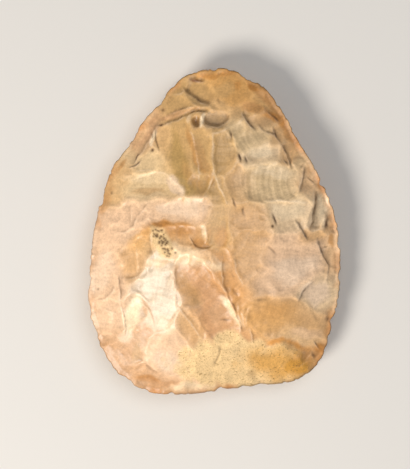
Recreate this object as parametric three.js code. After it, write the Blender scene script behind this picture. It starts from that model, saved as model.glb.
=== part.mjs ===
// A stone hand axe: an ovate biface knapped from a flint nodule, lying on its lower face.
// Millimetres, +Z up. The tip points along +Y, and the origin is under the middle of the piece,
// on the surface that it lies on.
import * as THREE from "three";

// Driving dimensions.
const LENGTH = 140; // butt to tip
const UPPER_DOME = 20.4; // height of the upper face above the cutting edge
const LOWER_DOME = 17.2; // depth of the lower face below the cutting edge
const REST_WEAR = 0.8; // how much of the lower dome is worn off, as the flat spot it lies on
const RINGS = 28; // rings of facets from the middle of a face to the margin

// The plan is drawn at this length, with its places as [across, along]: across from the long axis, with
// the right hand side positive, and along from the butt. It is then scaled to LENGTH.
const PLAN_LENGTH = 140;
const PLAN_SCALE = LENGTH / PLAN_LENGTH;
const MIDDLE = [0, 64]; // the point that the rings go round, over the thickest part

// The margin, clockwise from the tip.
const MARGIN = [
  [-2, 139.8], [7, 139.8], [15.2, 136], [23, 130.9], [31.2, 119.3], [37, 108],
  [45.4, 94], [51.2, 80.5], [54, 69], [54.8, 55.5], [54, 41.5], [51.4, 31],
  [49.2, 21.3], [44.6, 12.3], [34.6, 5.6], [18, 3.5], [0, 1.2], [-14, 0],
  [-27, 1], [-38.8, 7.4], [-46, 16], [-50.5, 27], [-53.4, 38], [-52.9, 50],
  [-52, 62], [-50.1, 75], [-47, 87.5], [-43, 98], [-36.2, 107], [-29.6, 118.3],
  [-24, 123.8], [-18, 131.5], [-11.5, 136.9],
];

// How the cutting edge rises and falls round the piece: each wave's height, count and starting angle.
const EDGE_WAVES = [
  { height: 1.5, count: 2, from: 20 },
  { height: 0.7, count: 5, from: 75 },
];
const BUTT_DROP = 4.5; // the edge runs lower round the butt, where the nodule's rind is left on

// How a flake came off at its far end: the greater, the steeper the wall it left.
const FEATHER = 1;
const SOFT = 1.5;
const HINGE = 2.2;
const STEP = 4;

// A flake scar: where its middle is, the way the flake ran (degrees anticlockwise from the right), its
// length that way, its breadth, how deep it dips, and how it ends.
function scar(at, runs, long, broad, deep, ends = FEATHER) {
  return { at, runs: THREE.MathUtils.degToRad(runs), long, broad, deep, ends };
}

const UPPER_SCARS = [
  // Round the tip.
  scar([9, 132], -95, 20, 30, 1.2),
  scar([-5, 130.5], -125, 14, 14, 1.5, STEP),
  scar([-17, 126.5], -45, 15, 12, 1.1, SOFT),
  scar([-14.5, 132.5], -50, 9, 8, 0.9),
  scar([1.5, 118.5], -80, 8, 13, 1.3, STEP),
  scar([3.5, 125.5], -90, 9, 12, 0.8),
  scar([-7, 116.6], 80, 5.5, 4.2, 1.7),
  scar([-11, 119.3], -70, 5, 20, 0.8, HINGE),
  scar([15, 124], 205, 22, 9, 1.1),
  scar([21, 117.5], 200, 17, 8, 1.1, SOFT),
  scar([10, 115.5], -100, 9, 9, 0.9),
  // Down the left margin.
  scar([-29.5, 111], 60, 26, 9, 1.6, SOFT),
  scar([-31, 101], -15, 25, 12, 1),
  scar([-39.5, 95.5], -10, 13, 12, 1),
  scar([-45, 86], 0, 12, 11, 1),
  scar([-48, 76], 0, 12, 12, 0.9),
  scar([-43, 68], 0, 24, 14, 0.9),
  scar([-46, 51], 0, 17, 19, 1.1, SOFT),
  scar([-46, 34], 10, 19, 17, 1.3, HINGE),
  scar([-38, 19], 45, 24, 16, 1.4, SOFT),
  scar([-46, 24], 30, 12, 10, 0.9),
  scar([-38, 11], 60, 12, 12, 0.9),
  scar([-27, 8], 75, 13, 20, 1.1),
  // The long scars that run in from the left.
  scar([-15, 101], -97, 38, 14, 1.5, SOFT),
  scar([-21.5, 110], -88, 20, 7, 1),
  scar([-6, 104], -78, 20, 8, 1),
  scar([-6, 89.5], 190, 13, 10, 1.1),
  scar([-26, 89], 0, 31, 14, 1.8, HINGE),
  scar([-17, 78], -3, 32, 13, 1.4, SOFT),
  scar([-36, 77], -10, 14, 12, 1),
  scar([-35, 57], -80, 15, 10, 1, SOFT),
  scar([-30, 64.5], 0, 11, 7, 0.8),
  scar([-23, 43], 80, 36, 19, 1.6),
  scar([-32, 36], 50, 20, 13, 1.5, HINGE),
  scar([-28, 29], 70, 9, 9, 0.9),
  scar([-20, 18], 70, 22, 19, 1.4),
  scar([-10, 30], -60, 18, 10, 1.1),
  scar([-4, 42], -57, 36, 16, 2.4, SOFT),
  scar([-10, 68], 180, 24, 9, 0.9),
  // The long scars that run in from the right.
  scar([4.5, 103], -90, 22, 10, 1.2),
  scar([2, 88], -80, 17, 9, 0.9),
  scar([18, 111], 205, 20, 12, 1.3),
  scar([21, 103], 190, 18, 9, 1.3, SOFT),
  scar([23, 91], 180, 32, 18, 1.8, HINGE),
  scar([11, 91], 180, 14, 17, 1.4),
  scar([32, 78], 180, 20, 13, 1.3),
  scar([14, 75], 190, 20, 12, 0.9),
  scar([3, 71], -95, 20, 11, 0.9),
  scar([16, 60], -100, 26, 14, 0.9),
  scar([7, 53], -75, 30, 10, 1.3),
  scar([34, 59], 180, 32, 19, 1.6),
  scar([28, 50], 170, 28, 14, 1.2),
  scar([31, 33], 165, 38, 17, 1.6, SOFT),
  scar([36, 26], 160, 26, 9, 1.2),
  // Down the right margin.
  scar([29, 113], 235, 14, 8, 1.2),
  scar([33, 104.5], 245, 17, 7, 1.4, HINGE),
  scar([40.5, 92], 200, 12, 11, 1.3),
  scar([45.5, 79], 255, 18, 7, 1.6, HINGE),
  scar([43, 68.5], 200, 12, 6, 1),
  scar([50, 59], 260, 18, 8, 1.3),
  scar([46, 43], 190, 20, 14, 1.5, SOFT),
  scar([45, 17], 140, 13, 11, 1.2),
];

// A number from 0 to 1 that looks picked at random and is always the same for the same count.
function chance(count) {
  const scrambled = Math.sin(count * 12.9898) * 43758.5453;
  return scrambled - Math.floor(scrambled);
}

// A row of flake scars struck all round the margin.
function fringe({ scars, reach, broad, deep, skew }) {
  return Array.from({ length: scars }, (_, k) => {
    const angle = ((k + 0.35 * chance(k)) / scars) * 2 * Math.PI;
    const radius = marginRadius(angle);
    const long = reach * radius * (0.85 + 0.3 * chance(k + 7));
    const out = radius - long * 0.36;
    return {
      at: [MIDDLE[0] + out * Math.cos(angle), MIDDLE[1] + out * Math.sin(angle)],
      runs: angle + Math.PI + THREE.MathUtils.degToRad(skew * (chance(k + 13) - 0.5)),
      long,
      broad: broad * (0.85 + 0.3 * chance(k + 3)),
      deep: deep * (0.8 + 0.4 * chance(k + 5)),
      ends: 1 + 1.5 * chance(k + 11),
    };
  });
}

// The margin as a smooth closed curve, kept as [angle about MIDDLE, distance from it] in order of angle.
const marginPoints = new THREE.CatmullRomCurve3(
  MARGIN.map(([across, along]) => new THREE.Vector3(across, along, 0)),
  true,
  "catmullrom",
)
  .getPoints(MARGIN.length * 24)
  .map((point) => {
    const across = point.x - MIDDLE[0];
    const along = point.y - MIDDLE[1];
    return [Math.atan2(along, across), Math.hypot(across, along)];
  })
  .sort((a, b) => a[0] - b[0]);

// How far the margin is from MIDDLE at an angle.
function marginRadius(angle) {
  const wrapped = Math.atan2(Math.sin(angle), Math.cos(angle));
  const next = marginPoints.findIndex(([at]) => at >= wrapped);
  const after = marginPoints[next < 0 ? 0 : next];
  const before = marginPoints.at(next < 0 ? -1 : next - 1);
  const gap = after[0] - before[0] + (after[0] < before[0] ? 2 * Math.PI : 0);
  const past = wrapped - before[0] + (wrapped < before[0] ? 2 * Math.PI : 0);
  return before[1] + (after[1] - before[1]) * (gap > 0 ? past / gap : 0);
}

const LOWER_SCARS = [
  ...fringe({ scars: 11, reach: 0.8, broad: 32, deep: 2, skew: 30 }),
  ...fringe({ scars: 19, reach: 0.36, broad: 16, deep: 1.3, skew: 50 }),
];

// How deep one scar cuts at a place, below 0 where it would only cut into higher ground.
function scarDepth({ at, runs, long, broad, deep, ends }, across, along) {
  const x = across - at[0];
  const y = along - at[1];
  const forward = (x * Math.cos(runs) + y * Math.sin(runs)) / (long / 2);
  const sideways = (y * Math.cos(runs) - x * Math.sin(runs)) / (broad / 2);
  const spread = Math.min(forward ** 2 + sideways ** 2, 4);
  const steepness = 1 + ((ends - 1) * THREE.MathUtils.clamp(1 + forward, 0, 2)) / 2;
  return deep * (1 - spread ** steepness);
}

const PROUD = 1; // how far the ridges between the scars may stand above the domes

// How deep the deepest of the scars cuts at a place.
function knappedDepth(scars, across, along) {
  return Math.max(-PROUD, ...scars.map((one) => scarDepth(one, across, along)));
}

// The height of the cutting edge at an angle round the piece.
function edgeHeight(angle) {
  const waves = EDGE_WAVES.reduce(
    (sum, { height, count, from }) =>
      sum + height * Math.sin(count * angle - THREE.MathUtils.degToRad(from)),
    0,
  );
  const towardsButt = Math.max(0, -Math.sin(angle)) ** 2;
  return LOWER_DOME + waves - BUTT_DROP * towardsButt;
}

const LEAST_THICKNESS = 0.2; // share of the uncut thickness that the scars always leave

// The upper and lower heights of the piece at an angle, a share of the way from the middle to the margin.
function heights(angle, share, across, along) {
  const edge = edgeHeight(angle);
  const level = LOWER_DOME + (edge - LOWER_DOME) * share ** 2;
  const swell = 1 - share ** 2;
  const upperCut = knappedDepth(UPPER_SCARS, across, along);
  const lowerCut = knappedDepth(LOWER_SCARS, across, along);
  const uncut = (UPPER_DOME + LOWER_DOME) * swell;
  const thickness = Math.max(uncut - upperCut - lowerCut, LEAST_THICKNESS * uncut);
  const middle = level + ((UPPER_DOME - LOWER_DOME) * swell + lowerCut - upperCut) / 2;
  return { upper: middle + thickness / 2, lower: Math.max(middle - thickness / 2, REST_WEAR) };
}

// The number of the first point in a ring, when the middle is point 0 and ring n holds 6 n points.
const ringStart = (ring) => (ring === 0 ? 0 : 1 + 3 * ring * (ring - 1));

// Triangles of one face, as numbers of points, wound anticlockwise seen from above.
function faceTriangles() {
  const point = (ring, place) => ringStart(ring) + (ring === 0 ? 0 : place % (6 * ring));
  const triangles = [];
  for (let ring = 0; ring < RINGS; ring++) {
    for (let sector = 0; sector < 6; sector++) {
      for (let step = 0; step <= ring; step++) {
        const inner = point(ring, sector * ring + step);
        const outer = sector * (ring + 1) + step;
        triangles.push([inner, point(ring + 1, outer), point(ring + 1, outer + 1)]);
        if (step < ring) {
          triangles.push([inner, point(ring + 1, outer + 1), point(ring, sector * ring + step + 1)]);
        }
      }
    }
  }
  return triangles;
}

// The whole stone: two knapped faces that meet at the cutting edge.
function stoneGeometry() {
  const upper = [];
  const lower = [];
  for (let ring = 0; ring <= RINGS; ring++) {
    for (let place = 0; place < Math.max(1, 6 * ring); place++) {
      const angle = (place / Math.max(1, 6 * ring)) * 2 * Math.PI;
      const share = ring / RINGS;
      const radius = share * marginRadius(angle);
      const across = MIDDLE[0] + radius * Math.cos(angle);
      const along = MIDDLE[1] + radius * Math.sin(angle);
      const z = heights(angle, share, across, along);
      upper.push([across * PLAN_SCALE, along * PLAN_SCALE, z.upper]);
      lower.push([across * PLAN_SCALE, along * PLAN_SCALE, z.lower]);
    }
  }
  // The last ring is the cutting edge, which both faces share.
  const edgeStart = ringStart(RINGS);
  const below = (index) => (index >= edgeStart ? index : upper.length + index);
  const triangles = faceTriangles();
  const geometry = new THREE.BufferGeometry();
  geometry.setAttribute(
    "position",
    new THREE.Float32BufferAttribute([...upper, ...lower.slice(0, edgeStart)].flat(), 3),
  );
  geometry.setIndex([
    ...triangles.flat(),
    ...triangles.flatMap(([a, b, c]) => [below(a), below(c), below(b)]),
  ]);
  geometry.computeVertexNormals();
  return geometry;
}

// Flint with a warm cream and honey patina, waxy to the touch.
const patinatedFlint = new THREE.MeshStandardMaterial({
  color: "#dcb587",
  roughness: 0.5,
  metalness: 0,
});

const handAxe = new THREE.Mesh(stoneGeometry(), patinatedFlint);
handAxe.name = "hand_axe";

// The piece is set down with its middle over the origin and its flat spot on z = 0.
handAxe.geometry.computeBoundingBox();
const { min, max } = handAxe.geometry.boundingBox;
handAxe.position.set(-(min.x + max.x) / 2, -(min.y + max.y) / 2, -min.z);

const group = new THREE.Group();
group.add(handAxe);

export default group;
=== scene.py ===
"""A stone hand axe: an ovate biface knapped from flint, patinated cream and honey, lying on its lower face.

The stone is one piece. Its plan, its two domed faces and every flake scar are worked out from named sizes,
drawn in millimetres as [across, along]: across from the long axis, with the right hand side positive, and
along from the butt to the tip. The drawing is then fitted to the box of the frame's solid.
"""

from __future__ import annotations

import logging
import math
from dataclasses import dataclass
from enum import Enum

import bpy
import numpy as np
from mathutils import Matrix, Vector

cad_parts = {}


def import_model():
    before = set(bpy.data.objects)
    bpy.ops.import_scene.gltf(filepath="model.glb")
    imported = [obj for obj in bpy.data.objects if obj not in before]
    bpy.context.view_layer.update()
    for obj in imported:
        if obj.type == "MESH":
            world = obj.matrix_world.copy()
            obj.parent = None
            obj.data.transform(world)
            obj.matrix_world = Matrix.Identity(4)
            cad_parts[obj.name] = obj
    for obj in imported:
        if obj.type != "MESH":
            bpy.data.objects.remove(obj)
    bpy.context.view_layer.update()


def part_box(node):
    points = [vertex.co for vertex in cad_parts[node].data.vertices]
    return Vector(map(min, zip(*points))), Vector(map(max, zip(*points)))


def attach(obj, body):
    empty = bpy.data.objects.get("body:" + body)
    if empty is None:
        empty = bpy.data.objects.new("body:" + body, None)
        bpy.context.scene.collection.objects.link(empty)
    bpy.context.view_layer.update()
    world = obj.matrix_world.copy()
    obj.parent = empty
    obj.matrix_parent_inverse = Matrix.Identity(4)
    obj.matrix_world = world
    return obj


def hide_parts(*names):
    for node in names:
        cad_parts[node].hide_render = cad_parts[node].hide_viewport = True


LOG = logging.getLogger("hand_axe")
MM = 0.001

Place = tuple[float, float]
Field = np.ndarray


def linear(colour: str) -> np.ndarray:
    """Turns a colour written as sRGB hex into linear red, green and blue."""
    parts = np.array([int(colour[i : i + 2], 16) for i in (1, 3, 5)]) / 255
    return np.where(parts <= 0.04045, parts / 12.92, ((parts + 0.055) / 1.055) ** 2.4)


def rgba(colour: str) -> tuple[float, float, float, float]:
    """Gives a hex colour as the four linear values that a shader's socket takes."""
    return (*linear(colour).tolist(), 1.0)


def smoothstep(low: float, high: float, value: Field) -> Field:
    """Rises smoothly from 0 at low to 1 at high, or falls if low is the greater."""
    share = np.clip((value - low) / (high - low), 0, 1)
    return share * share * (3 - 2 * share)


def chance(count: float | Field) -> float | Field:
    """Gives a number from 0 to 1 that looks picked at random and is always the same for the same count."""
    scrambled = np.sin(count * 12.9898) * 43758.5453
    return scrambled - np.floor(scrambled)


def varied(middling: float, spread: float, pick: float) -> float:
    """Gives a size that differs from pick to pick, by up to half of spread as a share either way."""
    return middling * (1 + spread * (chance(pick) - 0.5))


def noise(x: Field, y: Field, grain: float, seed: int) -> Field:
    """Makes smooth, random-looking waves over the plan.

    Args:
        x: Places across, in millimetres.
        y: Places along, in millimetres.
        grain: Size of one wave, in millimetres.
        seed: Picks another set of waves.

    Returns:
        A value from -1 to 1 at each place.
    """
    turn = 1.7 * seed
    u = (x * math.cos(turn) + y * math.sin(turn)) / grain
    v = (y * math.cos(turn) - x * math.sin(turn)) / grain
    column, row = np.floor(u), np.floor(v)
    u, v = smoothstep(0, 1, u - column), smoothstep(0, 1, v - row)

    def corner(right: int, up: int) -> Field:
        """Gives the value at one corner of the cell that a place is in."""
        return chance((column + right) * 9.781 + (row + up) * 23.997 + seed * 5.751)

    lower = corner(0, 0) * (1 - u) + corner(1, 0) * u
    upper = corner(0, 1) * (1 - u) + corner(1, 1) * u
    return 2 * (lower * (1 - v) + upper * v) - 1


def wander(x: Field, y: Field, far: float, grain: float, seed: int) -> tuple[Field, Field]:
    """Bends the drawing a little, so that no scar or line on it is a true ellipse or arc.

    Args:
        x: Places across, in millimetres.
        y: Places along, in millimetres.
        far: How far places move, in millimetres.
        grain: Size of one bend, in millimetres.
        seed: Picks another set of bends.

    Returns:
        The moved places, across and along.
    """
    return x + far * noise(x, y, grain, seed), y + far * noise(x, y, grain, seed + 1)


# Broad, middling and small bends: how far each moves places, how big it is, and which bends they are.
OUTLINE_BENDS = ((1.3, 11, 51), (0.8, 4.6, 53), (0.3, 2, 55))
LINE_BENDS = ((0.45, 3.6, 71), (0.2, 1.3, 73))


def bent(x: Field, y: Field, bends: tuple[tuple[float, float, int], ...]) -> tuple[Field, Field]:
    """Bends the drawing in several sizes of wave, one after another."""
    for far, grain, seed in bends:
        x, y = wander(x, y, far, grain, seed)
    return x, y


def patchy(x: Field, y: Field, mean: float, *waves: tuple[float, float, int]) -> Field:
    """Makes a strength that varies from place to place.

    Args:
        x: Places across, in millimetres.
        y: Places along, in millimetres.
        mean: The strength that it varies round.
        *waves: For each, how much it adds, how big it is in millimetres, and which waves they are.

    Returns:
        The strength at each place.
    """
    return mean + sum(strength * noise(x, y, grain, seed) for strength, grain, seed in waves)


def turned(x: Field, y: Field, at: Place, turn: float) -> tuple[Field, Field]:
    """Measures places from a point.

    Args:
        x: Places across, in millimetres.
        y: Places along, in millimetres.
        at: The point.
        turn: The way that it faces, in degrees anticlockwise from the right.

    Returns:
        How far each place is ahead of the point, and how far to its left.
    """
    ahead, left = math.cos(math.radians(turn)), math.sin(math.radians(turn))
    east, north = x - at[0], y - at[1]
    return east * ahead + north * left, north * ahead - east * left


class Ends(Enum):
    """How a flake came off at its far end: the greater the value, the steeper the wall it left."""

    FEATHER = 1.0
    SOFT = 1.5
    HINGE = 2.2
    STEP = 4.0


class Tint(Enum):
    """The colours that the stone has weathered to, from the palest."""

    IVORY = "#f5dcb8"
    LINEN = "#ecd0b4"
    BLUSH = "#efc598"
    CREAM = "#e8caa4"
    SHELL = "#e6c2a0"
    ROSE = "#e6c195"
    CHALK = "#d8c5ac"
    PEACH = "#e4b785"
    SAND = "#ddb584"
    STRAW = "#ddc096"
    PEARL = "#d4b597"
    HONEY = "#dca96d"
    TAN = "#d4aa7c"
    MAUVE = "#cca37d"
    WHEAT = "#cba573"
    ASH = "#c2a077"
    FAWN = "#cb9d74"
    AMBER = "#d0965a"
    OCHRE = "#c89663"
    UMBER = "#b98f60"
    CLAY = "#ba8753"
    MOSS = "#b0905c"
    RUST = "#b67e46"
    BLOOD = "#784420"


@dataclass(frozen=True)
class Scar:
    """The shallow dish that one flake left, with the tint that the stone has weathered to in it."""

    STRUCK = 0.62  # how far behind its middle the blow fell, as a share of its length
    FURTHEST = 4  # past this many half lengths from its middle, squared, it cuts no less

    at: Place
    runs: float  # the way the flake ran, in degrees anticlockwise from the right
    long: float
    broad: float
    deep: float
    tint: Tint | None = None
    ends: Ends = Ends.FEATHER
    ripple: float = 0.3  # how strongly ripples spread from where the flake was struck, from 0 to 1

    def place(self, x: Field, y: Field) -> tuple[Field, Field]:
        """Gives each place as half lengths forward and half breadths sideways from the scar's middle."""
        forward, sideways = turned(x, y, self.at, self.runs)
        return forward / (self.long / 2), sideways / (self.broad / 2)

    def depth(self, x: Field, y: Field) -> Field:
        """Gives how deep the scar cuts at each place, below 0 where it would only cut into higher ground."""
        forward, sideways = self.place(x, y)
        spread = forward**2 + sideways**2
        steepness = 1 + (self.ends.value - 1) * np.clip(1 + forward, 0, 2) / 2
        return self.deep * (1 - np.minimum(spread, self.FURTHEST) ** steepness)

    def flow(self, x: Field, y: Field) -> tuple[Field, Field]:
        """Follows the blow that struck the flake off.

        Args:
            x: Places across, in millimetres.
            y: Places along, in millimetres.

        Returns:
            How far each place is from where the blow fell, and how far round it to the left, in millimetres.
        """
        turn = math.radians(self.runs)
        start = self.long * self.STRUCK
        blow = (self.at[0] - start * math.cos(turn), self.at[1] - start * math.sin(turn))
        ahead, left = turned(x, y, blow, self.runs)
        return np.hypot(ahead, left), np.arctan2(left, ahead) * start


@dataclass(frozen=True)
class Line:
    """A line on the stone: a shallow arc from one place to another."""

    FADE = 1.6  # how far in from its ends the line fades, in millimetres

    start: Place
    end: Place
    bow: float = 0.0  # how far the middle of the arc stands to the left of the straight line

    def offset(self, x: Field, y: Field) -> tuple[Field, Field]:
        """Measures each place against the line.

        Args:
            x: Places across, in millimetres.
            y: Places along, in millimetres.

        Returns:
            How far each place is to the left of the line, and how much of the line it lies beside, which
            is 1 along the middle of the line and fades to 0 past its ends.
        """
        x, y = bent(x, y, LINE_BENDS)
        east, north = self.end[0] - self.start[0], self.end[1] - self.start[1]
        length = math.hypot(east, north)
        share = ((x - self.start[0]) * east + (y - self.start[1]) * north) / length**2
        left = ((y - self.start[1]) * east - (x - self.start[0]) * north) / length
        arc = 4 * self.bow * share * (1 - share)
        lean = 4 * self.bow * (1 - 2 * share) / length
        fade = min(0.5, self.FADE / length)
        beside = smoothstep(-fade, fade, share) * smoothstep(1 + fade, 1 - fade, share)
        return (left - arc) / np.sqrt(1 + lean**2), beside

    def painted_sheen(self, x: Field, y: Field, right: float, width: float) -> Field:
        """Gives how strongly a strip along the line is painted pale, as a highlight.

        Args:
            x: Places across, in millimetres.
            y: Places along, in millimetres.
            right: How far the strip's middle is to the right of the line, in millimetres.
            width: Half of how wide the strip is, in millimetres.

        Returns:
            A value from 0 to 1 at each place.
        """
        left, beside = self.offset(x, y)
        ragged = np.clip(patchy(x, y, 0.6, (0.5, 2.1, 34)), 0, 1)
        return beside * np.exp(-(((left + right) / width) ** 2)) * ragged


@dataclass(frozen=True)
class StepEdge(Line):
    """A little cliff where a flake broke off short, darkened at its foot by dirt and painted shadow, with
    painted shade beyond it and a painted highlight on its brow.
    """

    BROW = 0.25  # how far its brow stands up, as a share of the drop
    FOOT_DARKEST_AT = 0.1  # where the dirt and painted shadow at the foot are darkest, to the left of the line
    SHADE_BEYOND = 0.22  # how dark the painted shade beyond the foot is
    SHADE_BEYOND_REACH = 1.6
    HIGHLIGHT_HALF_WIDTH = 0.28  # half of how wide the painted highlight along the brow is

    drop: float = 0.6  # how far the ground falls on the left of the line
    # how dark the foot is made, with dirt and painted shadow
    dirt_and_shade: float = 1.0
    reach: float = 3.5  # how far the low ground takes to rise again
    wall: float = 0.28  # half of how wide the cliff is, seen from above

    def height(self, x: Field, y: Field) -> Field:
        """Gives how far the cliff lowers the ground to its left and lifts its brow on the right."""
        left, beside = self.offset(x, y)
        wall = self.wall
        low = -self.drop * np.exp(-np.maximum(left, 0) / self.reach) * smoothstep(-wall, wall, left)
        brow = self.BROW * self.drop * np.exp(np.minimum(left, 0) / self.reach)
        return (low + brow * smoothstep(wall, -wall, left)) * beside

    def darkening(self, x: Field, y: Field) -> Field:
        """Gives how dark each place is made, from 0 to 1: dirt and painted shadow at the foot, thin painted
        shade beyond it.
        """
        left, beside = self.offset(x, y)
        ragged = np.maximum(patchy(x, y, 0.75, (0.55, 3.1, 31), (0.4, 1.1, 33)), 0)
        width = patchy(x, y, self.wall + 0.05, (0.2, 2.3, 32))
        foot_darkening = np.exp(-(((left - self.FOOT_DARKEST_AT) / width) ** 2)) * ragged
        beyond = np.exp(-np.maximum(left, 0) / self.SHADE_BEYOND_REACH)
        thin = self.SHADE_BEYOND * smoothstep(0, 0.5, left) * beyond
        return self.dirt_and_shade * beside * np.maximum(foot_darkening, thin)

    def highlight_line(self, x: Field, y: Field) -> Field:
        """Gives how strong the painted highlight along the brow of the cliff is, from 0 to 1."""
        return self.painted_sheen(x, y, self.wall + 0.2, self.HIGHLIGHT_HALF_WIDTH)


@dataclass(frozen=True)
class Arris(Line):
    """A low ridge that two flakes left standing between them, with a painted highlight along it."""

    rise: float = 0.35
    width: float = 0.7

    def height(self, x: Field, y: Field) -> Field:
        """Gives how far the ridge stands up at each place."""
        left, beside = self.offset(x, y)
        return self.rise * np.exp(-((left / self.width) ** 2)) * beside

    def highlight_line(self, x: Field, y: Field) -> Field:
        """Gives how strong the painted highlight along the ridge is, from 0 to 1."""
        return self.painted_sheen(x, y, 0, self.width / 2)


@dataclass(frozen=True)
class Stain:
    """A patch where the stone is tinted: by iron, by what is under the patina, or by handling; a few patches
    are painted highlights and others painted shade.
    """

    at: Place
    turn: float
    long: float
    broad: float
    colour: Tint
    strength: float = 0.8
    soft: float = 0.5  # how far in from its edge the tint fades, as a share of its half breadth
    ragged: float = 0.25

    def cover(self, x: Field, y: Field) -> Field:
        """Gives how strongly the patch tints each place, from 0 to 1."""
        forward, sideways = turned(x, y, self.at, self.turn)
        spread = np.hypot(forward / (self.long / 2), sideways / (self.broad / 2))
        spread = spread + self.ragged * patchy(x, y, 0, (1, 4.5, 3), (0.5, 1.9, 4))
        return self.strength * smoothstep(1 + self.soft / 2, 1 - self.soft, spread)


@dataclass(frozen=True)
class Groove(Line):
    """A thin crack or scratch with dirt in it."""

    deep: float = 0.3
    width: float = 0.4
    dirt_and_shade: float = 0.8

    def height(self, x: Field, y: Field) -> Field:
        """Gives how far the crack lowers each place."""
        left, beside = self.offset(x, y)
        return -self.deep * np.exp(-((left / self.width) ** 2)) * beside

    def darkening(self, x: Field, y: Field) -> Field:
        """Gives how dark the dirt is at each place, from 0 to 1."""
        left, beside = self.offset(x, y)
        return self.dirt_and_shade * np.exp(-((left / self.width) ** 2)) * beside


@dataclass(frozen=True)
class Pit:
    """A small round hole, or a knob where deep is negative, darkened inside by dirt and painted shade."""

    at: Place
    size: float
    deep: float = 0.3
    dirt_and_shade: float = 0.8

    def nearness(self, x: Field, y: Field) -> Field:
        """Gives 1 at the middle of the pit, fading to 0 round it."""
        away = np.hypot(x - self.at[0], y - self.at[1]) / (self.size / 2)
        return np.exp(-(away**2))

    def height(self, x: Field, y: Field) -> Field:
        """Gives how far the pit lowers each place."""
        return -self.deep * self.nearness(x, y)

    def darkening(self, x: Field, y: Field) -> Field:
        """Gives how dark the dirt and painted shade are at each place, from 0 to 1."""
        return self.dirt_and_shade * self.nearness(x, y)


# The drawing of the plan. The rings of points go round MIDDLE, over the thickest part.
MIDDLE: Place = (0, 64)
MARGIN: tuple[Place, ...] = (
    (-2, 139.8), (7, 139.8), (15.2, 136), (23, 130.9), (31.2, 119.3), (37, 108),
    (45.4, 94), (51.2, 80.5), (54, 69), (54.8, 55.5), (54, 41.5), (51.4, 31),
    (49.2, 21.3), (44.6, 12.3), (34.6, 5.6), (18, 3.5), (0, 1.2), (-14, 0),
    (-27, 1), (-38.8, 7.4), (-46, 16), (-50.5, 27), (-53.4, 38), (-52.9, 50),
    (-52, 62), (-50.1, 75), (-47, 87.5), (-43, 98), (-36.2, 107), (-29.6, 118.3),
    (-24, 123.8), (-18, 131.5), (-11.5, 136.9),
)

# The flakes struck off the upper face.
TIP_SCARS = (
    Scar((9, 132), -95, 20, 30, 1.2, Tint.HONEY),
    Scar((-5, 130.5), -125, 14, 14, 1.5, Tint.WHEAT, Ends.STEP),
    Scar((-17, 126.5), -45, 15, 12, 1.1, Tint.WHEAT, Ends.SOFT),
    Scar((-14.5, 132.5), -50, 9, 8, 0.9, Tint.WHEAT),
    Scar((1.5, 118.5), -80, 8, 13, 1.3, Tint.ASH, Ends.STEP),
    Scar((3.5, 125.5), -90, 9, 12, 0.8, Tint.SAND),
    Scar((-7, 116.6), 80, 5.5, 4.2, 1.9, Tint.UMBER, Ends.SOFT),
    Scar((-11, 119.3), -70, 5, 20, 0.8, Tint.WHEAT, Ends.HINGE),
    Scar((15, 124), 205, 22, 9, 1.1, Tint.SAND),
    Scar((21, 117.5), 200, 17, 8, 1.1, Tint.TAN, Ends.SOFT),
    Scar((10, 115.5), -100, 9, 9, 0.9, Tint.STRAW),
)
LEFT_EDGE_SCARS = (
    Scar((-29.5, 111), 60, 26, 9, 1.6, Tint.MAUVE, Ends.SOFT),
    Scar((-31, 101), -15, 25, 12, 1, Tint.STRAW),
    Scar((-39.5, 95.5), -10, 13, 12, 1, Tint.SAND),
    Scar((-45, 86), 0, 12, 11, 1, Tint.SAND),
    Scar((-48, 76), 0, 12, 12, 0.9, Tint.SHELL),
    Scar((-43, 68), 0, 24, 14, 0.9, Tint.SHELL),
    Scar((-46, 51), 0, 17, 19, 1.1, Tint.SHELL, Ends.SOFT),
    Scar((-46, 34), 10, 19, 17, 1.3, Tint.SHELL, Ends.HINGE),
    Scar((-38, 19), 45, 24, 16, 1.4, Tint.MAUVE, Ends.SOFT),
    Scar((-46, 24), 30, 12, 10, 0.9, Tint.MAUVE),
    Scar((-38, 11), 60, 12, 12, 0.9, Tint.MAUVE),
    Scar((-27, 8), 75, 13, 20, 1.1, Tint.MAUVE),
)
LEFT_LONG_SCARS = (
    Scar((-15, 101), -97, 38, 14, 1.5, Tint.WHEAT, Ends.SOFT),
    Scar((-21.5, 110), -88, 20, 7, 1, Tint.SAND),
    Scar((-6, 104), -78, 20, 8, 0.8, Tint.WHEAT),
    Scar((-6, 89.5), 190, 13, 10, 1.1, Tint.MOSS, ripple=0.9),
    Scar((-26, 89), 0, 31, 14, 1.8, Tint.STRAW, Ends.HINGE, 0.9),
    Scar((-17, 78), -3, 32, 13, 1.4, Tint.SHELL, Ends.SOFT, 0.7),
    Scar((-36, 77), -10, 14, 12, 1, Tint.SHELL),
    Scar((-35, 57), -80, 15, 10, 1, Tint.TAN, Ends.SOFT),
    Scar((-30, 64.5), 0, 11, 7, 0.8, Tint.SAND),
    Scar((-23, 43), 80, 36, 19, 1.6, Tint.CHALK),
    Scar((-32, 36), 50, 20, 13, 1.5, Tint.PEARL, Ends.HINGE),
    Scar((-28, 28.5), 70, 9, 9, 0.9, Tint.FAWN),
    Scar((-20, 18), 70, 22, 19, 1.4, Tint.SHELL),
    Scar((-10, 30), -60, 18, 10, 1.1, Tint.TAN),
    Scar((-2.8, 41), -57, 37, 18, 2.4, Tint.FAWN, Ends.SOFT),
    Scar((-10, 68), 180, 24, 9, 0.9, Tint.TAN),
)
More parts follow.
